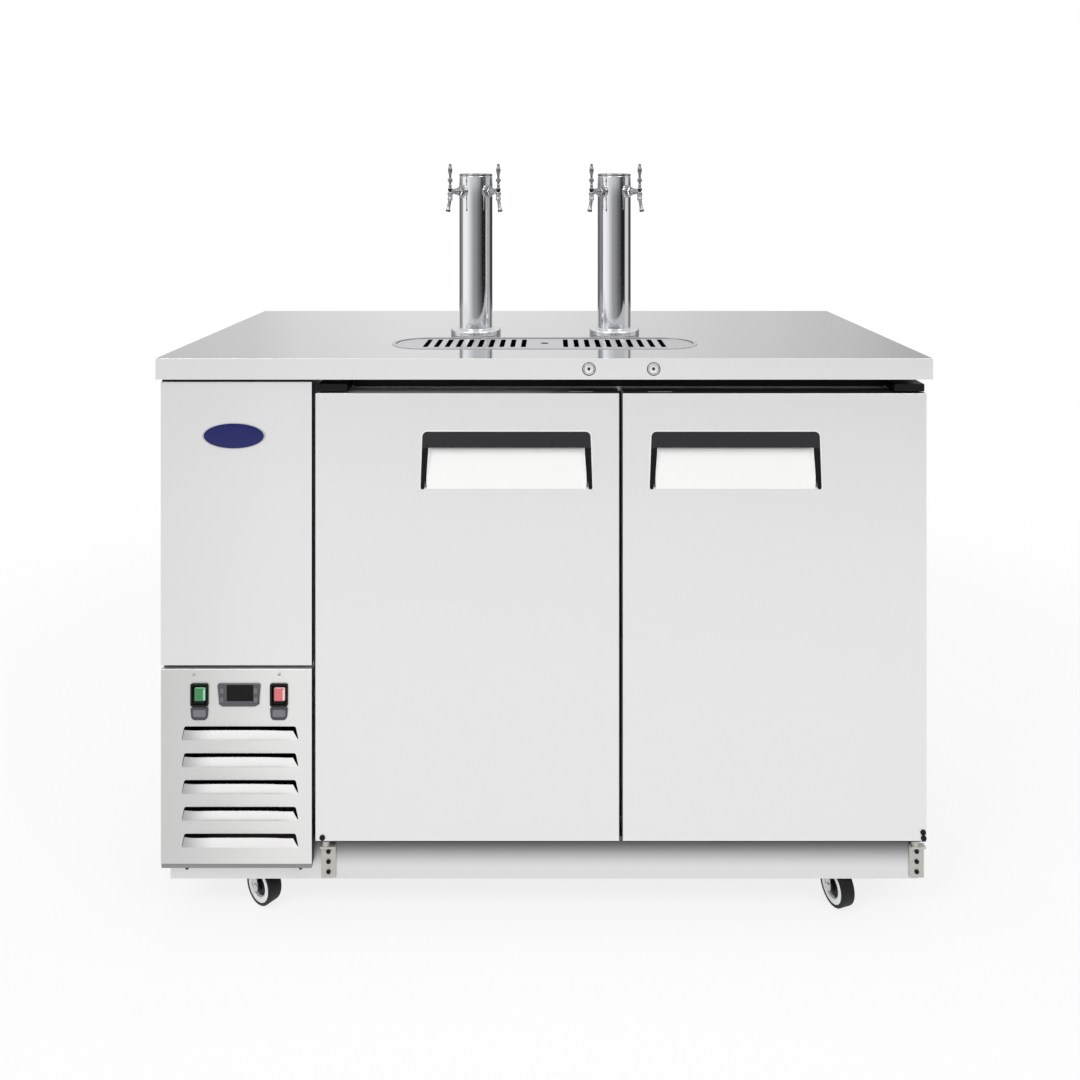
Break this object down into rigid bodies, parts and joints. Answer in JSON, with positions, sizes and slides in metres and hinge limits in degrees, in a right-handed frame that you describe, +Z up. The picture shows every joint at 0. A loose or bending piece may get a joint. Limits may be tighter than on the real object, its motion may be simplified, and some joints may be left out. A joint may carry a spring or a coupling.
{
  "type": "direct-draw beer cooler",
  "caption": "Direct-draw beer cooler on swivel casters: stainless cabinet with hinged doors, compressor compartment, drip tray and tap towers with lever faucets.",
  "frame": {"origin": "on the floor under the middle of the worktop", "axes": "+X to the right seen from the front, +Y to the back, +Z up"},
  "size_m": [1.468, 0.714, 1.442],
  "materials": {
    "cabinet_steel": "satin",
    "liner_steel": "satin",
    "frame_steel": "satin",
    "panel_steel": "satin",
    "door_steel": "satin",
    "worktop_steel": "satin",
    "tray_steel": "satin",
    "name_plate": "satin",
    "tower_polish": "polished",
    "faucet_chrome": "polished",
    "lever_chrome": "polished",
    "door_liner": "satin",
    "gasket": "matte",
    "handle": "satin",
    "bracket": "satin",
    "hinge_black": "satin",
    "lock": "polished",
    "switch_black": "satin",
    "rocker_green": "gloss",
    "rocker_red": "gloss",
    "controller_grey": "satin",
    "button_grey": "satin",
    "caster_metal": "satin",
    "caster_tyre": "matte",
    "compressor_black": "satin",
    "condenser": "satin",
    "fan_plastic": "satin",
    "evaporator": "satin"
  },
  "bodies": {
    "cabinet": {"outer_cabinet": "cabinet_steel", "inner_liner": "liner_steel", "base_frame": "frame_steel", "kick_plate": "cabinet_steel", "upper_front_panel": "panel_steel", "grille_panel": "panel_steel", "name_plate": "name_plate", "worktop": "worktop_steel", "drip_pan": "tray_steel", "tower_flange_left": "tower_polish", "tower_column_left": "tower_polish", "tower_cap_left": "tower_polish", "faucet_left_outer": "faucet_chrome", "faucet_left_inner": "faucet_chrome", "tower_flange_right": "tower_polish", "tower_column_right": "tower_polish", "tower_cap_right": "tower_polish", "faucet_right_outer": "faucet_chrome", "faucet_right_inner": "faucet_chrome", "lower_hinge_left": "bracket", "upper_hinge_left": "hinge_black", "lower_hinge_right": "bracket", "upper_hinge_right": "hinge_black", "power_switch_housing": "switch_black", "light_switch_housing": "switch_black", "controller_body": "controller_grey", "compressor": "compressor_black", "condenser_unit": "condenser", "evaporator_unit": "evaporator"},
    "drip_grate": {"drip_grate": "tray_steel"},
    "tap_lever_left_outer": {"tap_lever_left_outer": "lever_chrome"},
    "tap_lever_left_inner": {"tap_lever_left_inner": "lever_chrome"},
    "tap_lever_right_outer": {"tap_lever_right_outer": "lever_chrome"},
    "tap_lever_right_inner": {"tap_lever_right_inner": "lever_chrome"},
    "door_left": {"door_panel_left": "door_steel", "door_liner_left": "door_liner", "door_gasket_left": "gasket", "door_handle_left": "handle"},
    "door_right": {"door_panel_right": "door_steel", "door_liner_right": "door_liner", "door_gasket_right": "gasket", "door_handle_right": "handle"},
    "lock_cylinder_left": {"lock_cylinder_left": "lock"},
    "lock_cylinder_right": {"lock_cylinder_right": "lock"},
    "power_rocker": {"power_rocker": "rocker_green"},
    "light_rocker": {"light_rocker": "rocker_red"},
    "controller_button_1": {"controller_button_1": "button_grey"},
    "controller_button_2": {"controller_button_2": "button_grey"},
    "controller_button_3": {"controller_button_3": "button_grey"},
    "controller_button_4": {"controller_button_4": "button_grey"},
    "caster_fork_front_left": {"caster_fork_front_left": "caster_metal"},
    "caster_wheel_front_left": {"caster_wheel_front_left": "caster_tyre"},
    "caster_fork_front_right": {"caster_fork_front_right": "caster_metal"},
    "caster_wheel_front_right": {"caster_wheel_front_right": "caster_tyre"},
    "caster_fork_rear_left": {"caster_fork_rear_left": "caster_metal"},
    "caster_wheel_rear_left": {"caster_wheel_rear_left": "caster_tyre"},
    "caster_fork_rear_right": {"caster_fork_rear_right": "caster_metal"},
    "caster_wheel_rear_right": {"caster_wheel_rear_right": "caster_tyre"},
    "condenser_fan": {"condenser_fan": "fan_plastic"},
    "evaporator_fan": {"evaporator_fan": "fan_plastic"}
  },
  "joints": [
    {"name": "drip_grate_lift", "type": "slide", "parent": "cabinet", "child": "drip_grate", "axis": [0, 0, 1], "range_m": [0, 0.1]},
    {"name": "tap_lever_left_outer_pull", "type": "hinge", "parent": "cabinet", "child": "tap_lever_left_outer", "pos_m": [-0.20433, -0.09242, 1.386], "axis": [0.682, -0.7314, 0], "range_deg": [0, 35]},
    {"name": "tap_lever_left_inner_pull", "type": "hinge", "parent": "cabinet", "child": "tap_lever_left_inner", "pos_m": [-0.10047, -0.09242, 1.386], "axis": [0.682, 0.7314, 0], "range_deg": [0, 35]},
    {"name": "tap_lever_right_outer_pull", "type": "hinge", "parent": "cabinet", "child": "tap_lever_right_outer", "pos_m": [0.20433, -0.09242, 1.386], "axis": [0.682, 0.7314, 0], "range_deg": [0, 35]},
    {"name": "tap_lever_right_inner_pull", "type": "hinge", "parent": "cabinet", "child": "tap_lever_right_inner", "pos_m": [0.10047, -0.09242, 1.386], "axis": [0.682, -0.7314, 0], "range_deg": [0, 35]},
    {"name": "door_left_hinge", "type": "hinge", "parent": "cabinet", "child": "door_left", "pos_m": [-0.416, -0.337, 0.576], "axis": [0, 0, -1], "range_deg": [0, 110]},
    {"name": "door_right_hinge", "type": "hinge", "parent": "cabinet", "child": "door_right", "pos_m": [0.707, -0.337, 0.576], "axis": [0, 0, 1], "range_deg": [0, 110]},
    {"name": "lock_cylinder_left_turn", "type": "hinge", "parent": "cabinet", "child": "lock_cylinder_left", "pos_m": [0.0844, -0.357, 1.048], "axis": [0, -1, 0], "range_deg": [0, 90]},
    {"name": "lock_cylinder_right_turn", "type": "hinge", "parent": "cabinet", "child": "lock_cylinder_right", "pos_m": [0.2066, -0.357, 1.048], "axis": [0, 1, 0], "range_deg": [0, 90]},
    {"name": "power_rocker_tilt", "type": "hinge", "parent": "cabinet", "child": "power_rocker", "pos_m": [-0.653, -0.351, 0.4295], "axis": [1, 0, 0], "range_deg": [0, 8]},
    {"name": "light_rocker_tilt", "type": "hinge", "parent": "cabinet", "child": "light_rocker", "pos_m": [-0.5025, -0.351, 0.4295], "axis": [1, 0, 0], "range_deg": [0, 8]},
    {"name": "controller_button_1_press", "type": "slide", "parent": "cabinet", "child": "controller_button_1", "axis": [0, 1, 0], "range_m": [0, 0.0006], "stiffness_N_per_m": 300},
    {"name": "controller_button_2_press", "type": "slide", "parent": "cabinet", "child": "controller_button_2", "axis": [0, 1, 0], "range_m": [0, 0.0006], "stiffness_N_per_m": 300},
    {"name": "controller_button_3_press", "type": "slide", "parent": "cabinet", "child": "controller_button_3", "axis": [0, 1, 0], "range_m": [0, 0.0006], "stiffness_N_per_m": 300},
    {"name": "controller_button_4_press", "type": "slide", "parent": "cabinet", "child": "controller_button_4", "axis": [0, 1, 0], "range_m": [0, 0.0006], "stiffness_N_per_m": 300},
    {"name": "caster_fork_front_left_swivel", "type": "hinge", "parent": "cabinet", "child": "caster_fork_front_left", "pos_m": [-0.562, -0.283, 0.09], "axis": [0, 0, 1], "continuous": true},
    {"name": "caster_wheel_front_left_roll", "type": "hinge", "parent": "caster_fork_front_left", "child": "caster_wheel_front_left", "pos_m": [-0.54624, -0.29531, 0.03704], "axis": [0.6157, 0.788, 0], "continuous": true},
    {"name": "caster_fork_front_right_swivel", "type": "hinge", "parent": "cabinet", "child": "caster_fork_front_right", "pos_m": [0.562, -0.283, 0.09], "axis": [0, 0, 1], "continuous": true},
    {"name": "caster_wheel_front_right_roll", "type": "hinge", "parent": "caster_fork_front_right", "child": "caster_wheel_front_right", "pos_m": [0.56884, -0.30179, 0.03704], "axis": [0.9397, 0.342, 0], "continuous": true},
    {"name": "caster_fork_rear_left_swivel", "type": "hinge", "parent": "cabinet", "child": "caster_fork_rear_left", "pos_m": [-0.562, 0.283, 0.09], "axis": [0, 0, 1], "continuous": true},
    {"name": "caster_wheel_rear_left_roll", "type": "hinge", "parent": "caster_fork_rear_left", "child": "caster_wheel_rear_left", "pos_m": [-0.54969, 0.26724, 0.03704], "axis": [0.788, 0.6157, 0], "continuous": true},
    {"name": "caster_fork_rear_right_swivel", "type": "hinge", "parent": "cabinet", "child": "caster_fork_rear_right", "pos_m": [0.562, 0.283, 0.09], "axis": [0, 0, 1], "continuous": true},
    {"name": "caster_wheel_rear_right_roll", "type": "hinge", "parent": "caster_fork_rear_right", "child": "caster_wheel_rear_right", "pos_m": [0.57431, 0.26724, 0.03704], "axis": [0.788, 0.6157, 0], "continuous": true},
    {"name": "condenser_fan_spin", "type": "hinge", "parent": "cabinet", "child": "condenser_fan", "pos_m": [-0.58375, -0.191, 0.2568], "axis": [0, 1, 0], "continuous": true},
    {"name": "evaporator_fan_spin", "type": "hinge", "parent": "cabinet", "child": "evaporator_fan", "pos_m": [-0.3002, 0.06, 0.7924], "axis": [1, 0, 0], "continuous": true}
  ]
}
